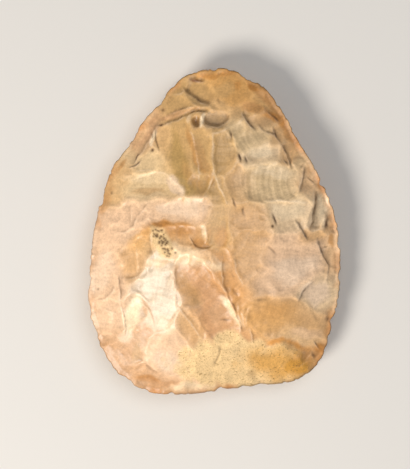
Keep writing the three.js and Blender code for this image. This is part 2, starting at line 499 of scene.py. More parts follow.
RIGHT_LONG_SCARS = (
    Scar((4.5, 103), -90, 22, 10, 1.2, Tint.WHEAT, ripple=0.6),
    Scar((2, 88), -80, 17, 9, 0.9, Tint.WHEAT),
    Scar((18, 111), 205, 20, 12, 1.3, Tint.STRAW, ripple=0.7),
    Scar((21, 103), 190, 18, 9, 1, Tint.CREAM, Ends.SOFT),
    Scar((23, 91), 180, 32, 18, 1.8, Tint.STRAW, Ends.HINGE, 0.9),
    Scar((11, 91), 180, 14, 17, 1.4, Tint.TAN),
    Scar((32, 78), 180, 20, 13, 1.3, Tint.CREAM),
    Scar((14, 75), 190, 20, 12, 0.9, Tint.TAN),
    Scar((3, 71), -95, 20, 11, 0.9, Tint.WHEAT),
    Scar((16, 60), -100, 26, 14, 0.9, Tint.TAN),
    Scar((7, 53), -75, 30, 10, 0.4, Tint.OCHRE),
    Scar((34, 59), 180, 32, 19, 1.6, Tint.SHELL, ripple=0.4),
    Scar((28, 50), 170, 28, 14, 1.2, Tint.SHELL),
    Scar((31, 33), 165, 38, 17, 1.6, Tint.TAN, Ends.SOFT, 0.4),
    Scar((36, 26), 160, 26, 9, 1.2, Tint.ROSE),
)
RIGHT_EDGE_SCARS = (
    Scar((29, 113), 235, 14, 8, 1.2, Tint.PEACH),
    Scar((33, 104.5), 245, 17, 7, 1.4, Tint.PEACH, Ends.HINGE),
    Scar((40.5, 92), 200, 12, 11, 1.3, Tint.BLUSH),
    Scar((45.5, 79), 255, 18, 7, 1.6, Tint.CREAM, Ends.HINGE),
    Scar((43, 68.5), 200, 12, 6, 1, Tint.PEACH),
    Scar((50, 59), 260, 18, 8, 1.3, Tint.BLUSH),
    Scar((46, 43), 190, 20, 14, 1.5, Tint.CREAM, Ends.SOFT),
    Scar((45, 17), 140, 13, 11, 1.2, Tint.OCHRE),
)
UPPER_SCARS = (
    *TIP_SCARS, *LEFT_EDGE_SCARS, *LEFT_LONG_SCARS, *RIGHT_LONG_SCARS, *RIGHT_EDGE_SCARS,
)

# Little cliffs where flakes broke off short. The low ground is to the left of each line.
STEP_EDGES = (
    # Round the tip.
    StepEdge((-12.6, 131.4), (-2, 124.4), -0.6, 1, 0.6, 5, 0.45),
    StepEdge((-18, 121), (-8.7, 123.4), 0.2, 0.3, 0.8),
    StepEdge((-23.8, 115.4), (-10, 120.2), -0.5, 0.7, 0.95),
    StepEdge((-10, 120.2), (-1.5, 120.8), 0.7, 0.8, 1),
    StepEdge((-3.6, 115.8), (7, 118.4), -1.9, 0.9, 0.7),
    StepEdge((-9.2, 136), (-4, 135.4), -0.2, 0.5, 1, wall=0.6),
    StepEdge((-17.3, 129.6), (-12.5, 130.4), -0.6, 0.3, 0.3),
    StepEdge((13, 120.8), (18, 113.4), -0.9, 0.8, 1),
    StepEdge((19.5, 115.3), (26.6, 111.8), -0.6, 0.5, 0.8),
    StepEdge((24, 121), (28, 117.4), 0.2, 0.5, 0.8),
    # Down the left.
    StepEdge((-34, 100.2), (-31.4, 103.6), 0.3, 0.8, 1),
    StepEdge((-31.4, 103.6), (-26.3, 112.6), -0.4, 0.5, 0.15),
    StepEdge((-26.3, 112.6), (-23.8, 116), 0, 0.5, 0.25),
    StepEdge((-35.8, 98), (-31, 100.3), -0.3, 0.6, 0.8),
    StepEdge((-31.8, 77.4), (-28.4, 81.4), 0, 0.4, 0.7),
    StepEdge((-40, 70), (-32.3, 76), -1.6, 0.35, 0.3),
    StepEdge((-35, 74.5), (-35.1, 81), 0, 0.3, 0.3),
    StepEdge((-25, 59.5), (-26.2, 69), 0.6, 0.4, 0.4),
    StepEdge((-40, 51.6), (-31, 52.6), -1.6, 0.35, 0.12),
    StepEdge((-40.1, 51), (-39.6, 41), 0.4, 0.6, 0.75, 2.5),
    StepEdge((-39.6, 41), (-37.6, 26.5), 0.9, 0.6, 0.4, 2.5),
    StepEdge((-34.6, 45.6), (-27, 40.2), 0.7, 0.25, 0.15, 2.5),
    StepEdge((-31, 40.5), (-24.9, 31), 1.7, 0.25, 0.15, 2.5),
    StepEdge((-49.8, 40.8), (-42, 47), -1.6, 0.45, 0.25),
    StepEdge((-46, 37), (-41.5, 35.3), 0, 0.3, 0.2),
    StepEdge((-23.5, 9.8), (-31, 16.2), 0.3, 0.5, 0.15, 4),
    # Round the brown hollow and the ridge beside it.
    StepEdge((-9.4, 67.4), (-1.2, 63.7), -2.4, 0.6, 0.2),
    StepEdge((-16.2, 54), (-15.2, 37), 0.3, 0.4, 0, 7),
    StepEdge((-14.8, 38.8), (-5.4, 26.2), 0.2, 0.35, 0, 7),
    StepEdge((4.3, 58), (5, 46.8), -0.7, 0.4, 0.4, 3),
    StepEdge((5, 46.8), (12.4, 28.3), 0.3, 0.6, 0.5, 3),
    StepEdge((16.1, 29), (16.7, 23.3), 0, 0.4, 0.6),
    # Down the right.
    StepEdge((25.6, 114.2), (29.7, 106.8), -0.2, 0.7, 0.8),
    StepEdge((29.5, 107), (33.4, 98.4), 0.4, 0.9, 0.9),
    StepEdge((30, 101.3), (31.8, 99.2), 0, 0.4, 0.8),
    StepEdge((39, 97.5), (36.7, 87.6), 0.5, 0.8, 0.8),
    StepEdge((40.3, 93.6), (43.8, 90.6), 0.2, 0.4, 0.7),
    StepEdge((44.2, 87), (41.4, 71), 0.6, 1.5, 0.7, 8, 0.6),
    StepEdge((48.4, 78.4), (49, 71.3), 0.3, 0.8, 1, 2, 0.8),
    StepEdge((35.4, 74), (40, 67), 0.2, 0.8, 0.8),
    StepEdge((44.5, 66.6), (49.9, 55.6), -0.4, 1, 0.8, 5),
    StepEdge((49.9, 56), (49.5, 48.8), 0, 0.6, 0.5),
    StepEdge((46.6, 62.2), (49.4, 63.6), 0.3, 0.3, 0.5),
    StepEdge((42.4, 49.2), (36.5, 40.6), -0.7, 0.6, 0.8),
    StepEdge((44, 22.8), (46, 20), 0, 0.5, 0.8),
    StepEdge((43, 17.8), (43.8, 15.2), 0, 0.6, 0.9),
    StepEdge((39.3, 14.6), (42.4, 18.4), 0, 0.5, 0.7),
    StepEdge((35.5, 12.2), (40.5, 14.3), 0, 0.4, 0.4),
)
GROOVES = (
    Groove((7, 112), (8, 109.6), 0, 0.5, 0.5, 1),
    Groove((10.3, 103.3), (11.5, 99.8), 0, 0.6, 0.5, 1),
    Groove((13.3, 101.4), (14.5, 99.6), 0, 0.5, 0.5, 0.9),
    Groove((8.5, 83.8), (9.4, 80.6), 0, dirt_and_shade=0.8),
    Groove((12.5, 80.6), (12.8, 77.6), 0, dirt_and_shade=0.7),
    Groove((25.5, 77), (26.6, 73.8), 0, 0.5, 0.5, 1),
    Groove((4, 33), (6.6, 32.6), 0, dirt_and_shade=0.7),
    Groove((3.2, 21), (0.8, 13), 0.5, 0.3, 0.45, 0.4),
    Groove((15.6, 10.2), (18.6, 5.6), 0, 0.2, 1.4, 0.3),
    Groove((2, 127), (2.3, 124.8), 0, dirt_and_shade=0.35),
    Groove((23.5, 63.2), (26, 60.8), 0, dirt_and_shade=0.3),
    Groove((-24.5, 113.5), (-23.2, 104.8), -0.5, dirt_and_shade=0.7),
    Groove((-27, 112.8), (-25.6, 110), 0, dirt_and_shade=0.5),
)
PITS = (
    Pit((25, 72.4), 1.2, 0.4, 1),
    Pit((-25.8, 105), 1.5, 0.3, 1),
    Pit((-26, 110.3), 1.6, -0.5, 0),
    Pit((-24.6, 112.4), 1.4, -0.5, 0),
    Pit((-25.6, 108.2), 1.2, -0.4, 0),
    Pit((-18.3, 93), 1.4, -0.4, 0),
    Pit((-17.6, 91.4), 1.2, -0.4, 0),
    Pit((-21.5, 122.5), 1.4, 0.2, 0.7),
    Pit((-43.7, 86.8), 1.2, 0.2, 0.5),
    Pit((-49.3, 45.4), 1, 0.2, 0.5),
    Pit((-39, 17.4), 1, 0.15, 0.4),
    Pit((-1.4, 80.5), 1.3, 0.3, 0.4),
    Pit((-7.2, 116.8), 3.2, 0.6, 0.6),
    Pit((50, 32.5), 2, 0.5, 0.6),
)
ARRISES = (
    Arris((-1, 111.6), (13.6, 118.6), -1.2, 0.4, 0.9),
    Arris((-5.4, 119.6), (-4.2, 114.6), 0.4, 0.7, 0.8),
    Arris((0, 112), (0.2, 95), 0, 0.3),
    Arris((0.2, 95), (6.2, 82), -0.6, 0.4),
    Arris((0.2, 95), (-4, 84.5), 0.4, 0.35),
    Arris((-10, 112.5), (-6, 92), 1, 0.2, 0.6),
    Arris((-38.5, 92.5), (-19, 93.3), 3.4, 0.1, 0.4),
    Arris((-19, 93.3), (-12, 85.5), 0.8, 0.5, 0.8),
    Arris((-21, 81.4), (-12, 84.8), 0.4, 0.25, 0.7),
    Arris((-12, 84.8), (-2.6, 83.4), 0, 0.1, 0.4),
    Arris((-3.9, 72.8), (-3.1, 66), 0.2, 0.6, 0.8),
    Arris((22, 83), (40, 82.6), 0.5, 0.5, 0.8),
    Arris((-2, 54.5), (9.8, 33.5), 1.5, 0.25, 0.6),
    Arris((8.5, 60), (12, 48), -0.3, 0.15, 0.6),
    Arris((10, 39.5), (12.3, 29.5), -0.3, 0.35, 0.6),
    Arris((13, 39), (13.4, 29.8), -0.8, 0.35, 0.6),
    Arris((15.5, 38.6), (14.2, 30.6), -0.9, 0.4, 0.6),
    Arris((41.5, 70.4), (48.5, 72.2), -0.3, 0.4, 0.7),
    Arris((-32.6, 63.5), (-32.2, 52.5), 0.2, 0.3, 0.5),
    Arris((13, 102.3), (27.5, 99.5), -3.4, 0.3, 0.8),
)

# Stains on the upper face: round the tip, down the left, in the middle, down the right, at the butt. A few
# are painted highlights and painted shade, each marked where it stands.
STAINS = (
    Stain((14, 126), -15, 26, 7, Tint.HONEY, 0.6),
    Stain((4, 131), 10, 12, 6, Tint.WHEAT, 0.6),
    Stain((-1, 138.2), 0, 9, 2.6, Tint.AMBER, 0.8),
    Stain((6.5, 137.8), 0, 7, 3.4, Tint.AMBER, 0.8),
    Stain((11.5, 133.4), 80, 4, 2.6, Tint.AMBER, 0.7),
    Stain((-6.4, 135.8), -6, 6.6, 2.6, Tint.BLOOD, 1),
    Stain((22, 129), -52, 24, 5, Tint.OCHRE, 0.8),
    Stain((18.5, 132), -40, 6, 3, Tint.RUST, 0.8),
    Stain((20, 122.6), -25, 20, 5, Tint.OCHRE, 0.8),
    Stain((25.5, 120), -30, 10, 4, Tint.RUST, 0.8),
    Stain((32, 113), -60, 18, 4.5, Tint.OCHRE, 0.8),
    Stain((30, 116.5), -60, 8, 3, Tint.RUST, 0.6),
    Stain((-16, 120.6), 14, 18, 3.4, Tint.FAWN, 0.7),
    Stain((-30, 116), 58, 16, 5, Tint.ROSE, 0.5),
    Stain((-29, 107), 65, 9, 4, Tint.ASH, 0.6),
    Stain((-14.5, 97), -74, 34, 9, Tint.MOSS, 0.75),
    Stain((-11.5, 92), -66, 16, 7, Tint.MOSS, 0.7),
    Stain((-20.5, 110), -80, 14, 6, Tint.SAND, 0.7),
    # Painted highlights: on the knobs beside the left strip, and on the rim of the pit near the tip.
    Stain((-25.6, 110.6), 72, 7, 2.4, Tint.IVORY, 0.9),
    Stain((-4.4, 117.2), 80, 6, 2.4, Tint.IVORY, 0.9),
    Stain((-10, 117.5), 80, 5, 2, Tint.CREAM, 0.6),
    Stain((-7.5, 104), -70, 26, 3, Tint.CLAY, 0.6),
    Stain((-3, 98), -72, 24, 2.4, Tint.UMBER, 0.6),
    Stain((-9, 93), -50, 14, 5, Tint.UMBER, 0.5),
    Stain((-5, 90), 0, 10, 12, Tint.UMBER, 0.4),
    Stain((-28, 92.5), -5, 24, 5, Tint.IVORY, 0.3),
    Stain((-16, 88.5), -50, 10, 5, Tint.LINEN, 0.7),
    Stain((-28, 86.5), 0, 16, 3.4, Tint.UMBER, 0.5),
    Stain((-14, 79), 2, 22, 7, Tint.LINEN, 0.7),
    Stain((-46, 84), 72, 16, 4, Tint.OCHRE, 0.5),
    Stain((-48, 52), 84, 24, 9, Tint.LINEN, 0.6),
    Stain((-46, 34), 85, 18, 10, Tint.SHELL, 0.5),
    Stain((-40.3, 99.5), 45, 6, 2.4, Tint.CLAY, 0.6),
    Stain((-17, 70), -4, 32, 8, Tint.OCHRE, 0.85, 0.6),
    Stain((-31, 67), 38, 14, 6, Tint.HONEY, 0.6, 0.6),
    Stain((-12, 70.4), -4, 20, 5, Tint.CLAY, 0.6),
    Stain((-22.5, 72.4), 0, 7, 3, Tint.RUST, 0.7),
    Stain((-5.2, 65.4), -15, 9, 5.5, Tint.CLAY, 0.8),
    Stain((-9, 59.5), -12, 34, 8, Tint.CREAM, 0.9),
    Stain((-22, 57.5), 5, 16, 4, Tint.ROSE, 0.6),
    Stain((-3.5, 69.5), 95, 7, 2.4, Tint.CREAM, 0.9),
    Stain((-10, 46), -65, 16, 8, Tint.UMBER, 0.8),
    Stain((-1, 50), -50, 18, 6, Tint.OCHRE, 0.4),
    Stain((-8.5, 40), 0, 9, 10, Tint.ASH, 0.5, 0.9),
    Stain((1, 35), -60, 12, 8, Tint.MAUVE, 0.6),
    # A painted highlight on the flank of the ridge beside the brown hollow.
    Stain((7, 36), -58, 15, 3.6, Tint.IVORY, 1),
    # Painted shade along the arch round the pale lobe, and on its shadowed lower right side.
    Stain((-27.6, 37), 105, 12, 3, Tint.MAUVE, 0.7),
    Stain((-29, 27.5), 0, 6, 5, Tint.FAWN, 0.8),
    Stain((-21, 31), 0, 13, 10, Tint.SHELL, 0.6),
    # A painted highlight: the gloss on the pale lobe.
    Stain((-34, 35), 72, 16, 7, Tint.IVORY, 1),
    Stain((-38, 25), 0, 10, 6, Tint.LINEN, 0.8),
    # Painted shade on the lobe's right flank.
    Stain((-33.2, 19), 80, 13, 4, Tint.ASH, 0.6),
    Stain((-21, 15.5), -20, 17, 10, Tint.LINEN, 0.8),
    Stain((4, 68), 80, 9, 6, Tint.OCHRE, 0.7),
    Stain((-1, 60), 0, 9, 6, Tint.OCHRE, 0.5),
    Stain((8, 50), -72, 22, 6, Tint.OCHRE, 0.5),
    Stain((26, 96), -10, 22, 6, Tint.IVORY, 0.6),
    Stain((12, 90), 80, 14, 6, Tint.ROSE, 0.5),
    Stain((32, 79), 0, 16, 9, Tint.IVORY, 0.7),
    Stain((22, 104), 0, 12, 6, Tint.IVORY, 0.8),
    Stain((46, 81), -75, 14, 4, Tint.IVORY, 0.9),
    Stain((35, 54), 10, 22, 12, Tint.LINEN, 0.75),
    Stain((44, 43), 20, 12, 11, Tint.LINEN, 0.8),
    Stain((22, 33), 0, 30, 18, Tint.HONEY, 0.7, 0.9),
    Stain((24, 36), 0, 22, 10, Tint.OCHRE, 0.3, 0.9),
    Stain((40, 26), 0, 14, 5, Tint.SHELL, 0.5),
    Stain((51, 66.5), -80, 8, 3.5, Tint.OCHRE, 0.8),
    Stain((32, 21.4), -6, 26, 4, Tint.AMBER, 0.9),
    Stain((46, 20), -30, 6, 4, Tint.RUST, 0.8),
    Stain((-27, 7.3), -8, 11, 3.6, Tint.RUST, 0.7),
    Stain((-20, 5), -8, 18, 3, Tint.FAWN, 0.7),
    # A painted highlight along the lit rim at the butt.
    Stain((-9, 3), 3, 24, 5, Tint.IVORY, 0.8),
)
# Where the nodule's rind is left on, pale at one end and golden at the other.
RIND = (
    Stain((12, 12.5), -3, 64, 24, Tint.CREAM, 1, 0.3),
    Stain((8, 22), 0, 18, 12, Tint.CREAM, 1, 0.3),
    Stain((-21.5, 65.5), -60, 14, 8, Tint.CREAM, 0.9, 0.3),
)
RIND_GOLD = (
    Stain((28, 13), -5, 34, 16, Tint.HONEY, 0.8, 0.7),
    Stain((37, 13), 30, 16, 12, Tint.AMBER, 1, 0.5),
)


def dotted(patch: Stain, dots: int, seed: int) -> tuple[Pit, ...]:
    """Strews small dark pits over a patch, thickest along the middle of it."""
    turn = math.radians(patch.turn)
    pits = []
    for pick in range(seed, seed + dots):
        forward = (chance(pick) - 0.5) * patch.long
        sideways = (chance(pick + 0.4) + chance(pick + 0.6) - 1) * patch.broad / 2
        at = (
            patch.at[0] + forward * math.cos(turn) - sideways * math.sin(turn),
            patch.at[1] + forward * math.sin(turn) + sideways * math.cos(turn),
        )
        pits.append(Pit(at, size=0.7 + 0.5 * chance(pick + 0.8), deep=0.3, dirt_and_shade=0.9))
    return tuple(pits)


RIND_DOTS = dotted(Stain((-21, 65.5), -58, 13, 5.5, Tint.CREAM), 44, seed=20)


def cover(stains: tuple[Stain, ...], x: Field, y: Field) -> Field:
    """Gives how fully some stains together cover each place, from 0 to 1."""
    return np.max([stain.cover(x, y) for stain in stains], axis=0)


class Side(Enum):
    """The two faces of the stone."""

    UPPER = 1
    LOWER = -1


def margin_samples() -> tuple[Field, Field]:
    """Draws the margin as a smooth closed curve.

    Returns:
        The angles round MIDDLE in rising order, and how far the margin is from MIDDLE at each.
    """
    steps_per_point = 24
    points = np.array(MARGIN, float)
    t = np.linspace(0, 1, steps_per_point, endpoint=False)[:, None]
    curve = []
    for k in range(len(points)):
        before, here, there, after = (points[(k + n) % len(points)] for n in (-1, 0, 1, 2))
        leave, arrive = (there - before) / 2, (after - here) / 2
        curve.append(
            here
            + leave * t
            + (3 * (there - here) - 2 * leave - arrive) * t**2
            + (2 * (here - there) + leave + arrive) * t**3
        )
    across, along = (np.concatenate(curve) - MIDDLE).T
    angle = np.arctan2(along, across)
    order = np.argsort(angle)
    return angle[order], np.hypot(across, along)[order]


MARGIN_ANGLE, MARGIN_REACH = margin_samples()


def margin_radius(angle: Field) -> Field:
    """Gives how far the smooth margin is from MIDDLE at each angle."""
    return np.interp(angle, MARGIN_ANGLE, MARGIN_REACH, period=2 * math.pi)


@dataclass(frozen=True)
class Fringe:
    """A row of flakes struck off along the margin of one face."""

    INSIDE = 0.36  # how far inside the margin a scar's middle is, as a share of its length

    scars: int
    reach: float  # how far in each flake ran: a share of the way to MIDDLE, or millimetres if over 1
    broad: float
    deep: float
    skew: float  # how far, in degrees, the flakes stray from running straight in
    seed: int = 0
    ends: tuple[Ends, ...] = (Ends.FEATHER, Ends.SOFT, Ends.HINGE)
    tints: tuple[Tint, ...] = ()
    start: float = 0  # where round the margin the row starts, in degrees from the right
    turn: float = 360  # how far round it goes

    def scar(self, k: int) -> Scar:
        """Makes one scar of the row."""
        pick = k + self.seed
        angle = math.radians(self.start + (k + 0.35 * chance(pick)) / self.scars * self.turn)
        radius = float(margin_radius(angle))
        reach = self.reach if self.reach > 1 else self.reach * radius
        long = varied(reach, 0.3, pick + 7)
        out = radius - long * self.INSIDE
        steepness = 3 * chance(pick + 11)
        return Scar(
            at=(MIDDLE[0] + out * math.cos(angle), MIDDLE[1] + out * math.sin(angle)),
            runs=math.degrees(angle) + 180 + self.skew * (chance(pick + 13) - 0.5),
            long=long,
            broad=varied(self.broad, 0.3, pick + 3),
            deep=varied(self.deep, 0.4, pick + 5),
            ends=self.ends[min(int(steepness), len(self.ends) - 1)],
            tint=self.tints[int(len(self.tints) * chance(pick + 17))] if self.tints else None,
        )

    def all(self) -> tuple[Scar, ...]:
        """Makes the whole row."""
        return tuple(self.scar(k) for k in range(self.scars))


def scatter(scars: int, long: float, deep: float, seed: int) -> tuple[Scar, ...]:
    """Strikes small flakes off the ridges all over a face but its rind, each running roughly inward.

    Args:
        scars: How many.
        long: Length of the middling one.
        deep: Depth of the middling one.
        seed: Picks another set.

    Returns:
        The scars.
    """
    made = []
    for pick in range(seed, seed + scars):
        angle = 2 * math.pi * chance(pick)
        out = math.sqrt(chance(pick + 0.3)) * float(margin_radius(angle))
        size = varied(1, 0.8, pick + 0.5)
        at = (MIDDLE[0] + out * math.cos(angle), MIDDLE[1] + out * math.sin(angle))
        if cover(RIND, *(np.array([place]) for place in at))[0] > 0:
            continue
        made.append(
            Scar(
                at=at,
                runs=math.degrees(angle) + 180 + 120 * (chance(pick + 0.7) - 0.5),
                long=long * size,
                broad=long * size * (0.5 + 0.4 * chance(pick + 0.9)),
                deep=varied(deep, 1, pick + 0.1),
                ends=(Ends.SOFT, Ends.HINGE, Ends.STEP)[int(3 * chance(pick + 0.6))],
            )
        )
    return tuple(made)


LOWER_TINTS = (Tint.SAND, Tint.FAWN, Tint.ROSE, Tint.HONEY, Tint.WHEAT)
LOWER_SCARS = (
    *Fringe(11, 0.8, 32, 2, 30, tints=LOWER_TINTS).all(),
    *Fringe(19, 0.36, 16, 1.3, 50, tints=LOWER_TINTS).all(),
)
# The small flakes that sharpen and trim the edge, on each face.
RETOUCH = {
    Side.UPPER: (
        *Fringe(28, 9, 10, 0.9, 60, seed=40, start=-48, turn=265).all(),
        *Fringe(52, 5, 5.5, 0.6, 80, seed=60, start=-48, turn=265).all(),
    ),
    Side.LOWER: Fringe(54, 6.5, 7, 0.6, 70, seed=90).all(),
}
# The slight flakes that split off along the ridges between the scars.
CHIPS = {
    Side.UPPER: (*scatter(170, 9, 0.5, seed=300), *scatter(260, 4.5, 0.3, seed=600)),
    Side.LOWER: scatter(120, 9, 0.5, seed=900),
}
LOWER_STAINS = (
    Stain((8, 40), 20, 44, 26, Tint.OCHRE, 0.5, 0.8),
    Stain((-20, 88), 60, 30, 18, Tint.UMBER, 0.5, 0.8),
    Stain((22, 100), -40, 26, 12, Tint.CREAM, 0.6, 0.8),
    Stain((-30, 30), 0, 22, 16, Tint.CHALK, 0.6, 0.8),
)


@dataclass(frozen=True)
class Face:
    """One face of the stone: its points, the triangles between them and what is worked into each."""

    across: Field
    along: Field
    angle: Field
    share: Field  # of the way from MIDDLE to the margin
    triangles: np.ndarray

    def neighbours_mean(self, values: Field, rounds: int, strength: float = 1.0) -> Field:
        """Evens out values over the face.

        Args:
            values: One number at each point.
            rounds: How many times each point is drawn towards the mean of its neighbours.
            strength: How far it is drawn each time, as a share.

        Returns:
            The evened values.
        """
        pairs = np.concatenate([self.triangles[:, pair] for pair in ([0, 1], [1, 2], [2, 0])])
        pairs = np.concatenate([pairs, pairs[:, ::-1]])
        count = np.bincount(pairs[:, 0], minlength=len(values))
        for _ in range(rounds):
            mean = np.bincount(pairs[:, 0], values[pairs[:, 1]], len(values)) / count
            values = values + strength * (mean - values)
        return values

    def proud(self, height: Field, rounds: int) -> Field:
        """Gives how far each point stands above the evened ground round it."""
        return height - self.neighbours_mean(height, rounds)


def join_rings(inner: range, outer: range) -> list[tuple[int, int, int]]:
    """Fills the band between two rings of points with triangles.

    Args:
        inner: The numbers of the inner ring's points, anticlockwise, or of the one middle point.
        outer: The numbers of the outer ring's points, anticlockwise.

    Returns:
        Triangles as numbers of points, anticlockwise.
    """
    triangles = []
    turns = len(inner) if len(inner) > 1 else 0
    i = j = 0
    while i < turns or j < len(outer):
        a, b = inner[i % len(inner)], outer[j % len(outer)]
        if i >= turns or (j < len(outer) and (j + 0.5) * turns <= (i + 0.5) * len(outer)):
            j += 1
            triangles.append((a, b, outer[j % len(outer)]))
        else:
            i += 1
            triangles.append((a, b, inner[i % len(inner)]))
    return triangles


# How a mesh keeps one, three or four numbers at each of its points.
KEPT_AS = {1: ("FLOAT", "value"), 3: ("FLOAT_VECTOR", "vector"), 4: ("FLOAT_COLOR", "color")}


@dataclass
class HandAxe:
    """The knapped stone, whose sizes are in the drawing's millimetres."""

    name: str = "flint_hand_axe"
    upper_dome: float = 20.4  # height of the upper face above the cutting edge
    lower_dome: float = 17.2
    rest_wear: float = 0.8  # how much of the lower dome is worn off, as the flat spot it lies on
    butt_drop: float = 4.5  # the edge runs lower round the butt, where the rind is left on
    least_thickness: float = 0.2  # share of the uncut thickness that the scars always leave
    highest: float = -1.0  # how far above the domes the ridges between scars may stand, as a depth
    rounding: float = 0.22  # half of how thick the edge itself is, rubbed dull
    upper_rings: int = 150
    lower_rings: int = 96
    edge_waves: tuple[tuple[float, int, float], ...] = ((1.5, 2, 20), (0.7, 5, 75))
    margin_room: float = 0.5  # how far the margin stands out where use has bitten nothing off it
    margin_bite: float = 1.1  # how deep the bites in it are
    bite_reach: int = 40  # the greater, the fewer of the outer rings that the bites take in
    dulled_band: float = 0.05  # how much of a dome's height, from the edge up, the dulling takes
    relief_band: float = 0.06  # how much of it the finer relief takes to begin
    chips_in_scars: float = 0.15  # how strongly the slight chips show away from the ridges
    ripple_heights: tuple[float, float, float] = (0.13, 0.04, 0.015)  # broad ones, fine ones and rays
    ripple_sizes: tuple[float, float, float] = (1.7, 0.9, 1.2)
    drawn_out: tuple[float, float, float] = (0.12, 0.1, 0.1)  # size as a share of how long each runs
    rind_rise: float = 0.25  # how far the rind stands above the flint
    rind_rough: float = 0.08
    settling: float = 0.6  # how far each point is drawn to the mean of its neighbours, once

    def edge_height(self, angle: Field) -> Field:
        """Gives the height of the cutting edge at each angle round the piece."""
        height = self.lower_dome - self.butt_drop * np.maximum(0, -np.sin(angle)) ** 2
        for rise, count, start in self.edge_waves:
            height = height + rise * np.sin(count * angle - math.radians(start))
        return height

    def bites(self, angle: Field) -> Field:
        """Gives how far use has moved the margin out at each angle, which is mostly a tiny bite in."""
        radius = margin_radius(angle)
        x, y = MIDDLE[0] + radius * np.cos(angle), MIDDLE[1] + radius * np.sin(angle)
        bites = np.maximum(0, noise(x, y, 3.1, 8)) + 0.5 * np.maximum(0, noise(x, y, 1.4, 9))
        return self.margin_room - self.margin_bite * bites

    def face(self, rings: int, margin: int) -> Face:
        """Lays out the points of one face.

        Args:
            rings: How many rings of points there are from MIDDLE to the margin.
            margin: How many points the last ring has.

        Returns:
            The face, flat.
        """
        counts = [6 * ring for ring in range(rings)] + [margin]
        counts[0] = 1
        angle = np.concatenate([np.arange(n) / n * 2 * math.pi for n in counts])
        share = np.concatenate([np.full(n, ring / rings) for ring, n in enumerate(counts)])
        starts = np.cumsum([0, *counts])
        triangles = []
        for ring in range(rings):
            inner = range(starts[ring], starts[ring + 1])
            outer = range(starts[ring + 1], starts[ring + 2])
            triangles += join_rings(inner, outer)
        # The bites take only the outermost rings in.
        radius = share * margin_radius(angle) + share**self.bite_reach * self.bites(angle)
        across, along = radius * np.cos(angle) + MIDDLE[0], radius * np.sin(angle) + MIDDLE[1]
        return Face(across, along, angle, share, np.array(triangles))

    def cuts(self, side: Side, x: Field, y: Field) -> tuple[Field, Field, tuple[Scar, ...]]:
        """Cuts all the flakes off one face.

        Args:
            side: Which face.
            x: Places across.
            y: Places along.

        Returns:
            How deep the deepest scar cuts at each place, which scar that is, and the scars.
        """
        scars = (UPPER_SCARS if side is Side.UPPER else LOWER_SCARS) + RETOUCH[side]
        x, y = bent(x, y, OUTLINE_BENDS)
        depths = np.array([scar.depth(x, y) for scar in scars])
        deepest = np.maximum(depths.max(axis=0), self.highest)
        chipped = np.zeros_like(x)
        for chip in CHIPS[side]:
            near = np.hypot(x - chip.at[0], y - chip.at[1]) < chip.long / 2
            chipped[near] = np.maximum(chipped[near], chip.depth(x[near], y[near]))
        shallow, deep = 0.3, 1.1
        ridge = self.chips_in_scars + (1 - self.chips_in_scars) * smoothstep(deep, shallow, deepest)
        return deepest + ridge * chipped, depths.argmax(axis=0), scars

    def heights(self, side: Side, face: Face) -> Field:
        """Works out how high each point of a face stands, with its scars and its finer relief."""
        x, y = face.across, face.along
        level = self.lower_dome + (self.edge_height(face.angle) - self.lower_dome) * face.share**2
        swell = 1 - face.share**2
        upper_cut = self.cuts(Side.UPPER, x, y)[0]
        lower_cut = self.cuts(Side.LOWER, x, y)[0]
        uncut = (self.upper_dome + self.lower_dome) * swell
        thickness = np.maximum(uncut - upper_cut - lower_cut, self.least_thickness * uncut)
        thickness = thickness + 2 * self.rounding * np.sqrt(np.minimum(1, swell / self.dulled_band))
        middle = level + ((self.upper_dome - self.lower_dome) * swell + lower_cut - upper_cut) / 2
        inside = smoothstep(0, self.relief_band, swell)
        if side is Side.UPPER:
            return middle + thickness / 2 + inside * self.fine_relief(face)
        slight = self.undulation(x, y) + self.ripples(side, face)
        return np.maximum(middle - thickness / 2 + inside * slight, self.rest_wear)

    def fine_relief(self, face: Face) -> Field:
        """Gives what the cliffs, cracks, ridges, ripples and rind add to the upper face's height."""
        x, y = face.across, face.along
        relief = sum(mark.height(x, y) for mark in (*STEP_EDGES, *GROOVES, *PITS, *RIND_DOTS, *ARRISES))
        rough = self.rind_rough
        rind = cover(RIND, x, y) * patchy(x, y, self.rind_rise, (rough, 1.1, 41), (rough, 2.6, 42))
        return relief + rind + self.ripples(Side.UPPER, face) + self.undulation(x, y)

    def ripples(self, side: Side, face: Face) -> Field:
        """Gives the height of the ripples that spread across each scar from its blow."""
        flow, strength = self.flow(side, face)
        away, round_, number = flow.T
        stretch, size = self.drawn_out, self.ripple_sizes
        waves = (
            noise(away, stretch[0] * round_ + number, size[0], 61),
            noise(away + number, stretch[1] * round_, size[1], 62),
            noise(stretch[2] * away + number, round_, size[2], 63),
        )
        return strength * sum(height * wave for height, wave in zip(self.ripple_heights, waves))

    def undulation(self, x: Field, y: Field) -> Field:
        """Gives the slight unevenness that runs over every scar."""
        return patchy(x, y, 0, (0.16, 6.5, 43), (0.08, 3.1, 44), (0.03, 1.4, 45))

    def flow(self, side: Side, face: Face) -> tuple[Field, Field]:
        """Follows the blow that struck off the scar at each point.

        Args:
            side: Which face.
            face: Its points.

        Returns:
            How far each point is from its blow, how far round it, and a number of its scar's own; and how
            strongly the ripples show.
        """
        x, y = face.across, face.along
        _, winner, scars = self.cuts(side, x, y)
        flow, strength = np.zeros((len(x), 3)), np.zeros(len(x))
        for number, scar in enumerate(scars):
            shows = winner == number
            if shows.any():
                away, round_ = scar.flow(x[shows], y[shows])
                flow[shows] = np.stack([away, round_, np.full(len(away), 7.0 * number)], axis=1)
                strength[shows] = scar.ripple
        # The ripples fade where one scar meets another.
        edge = face.neighbours_mean((face.neighbours_mean(winner, 1) != winner).astype(float), 2)
        return flow, strength * smoothstep(0.4, 0.05, edge)

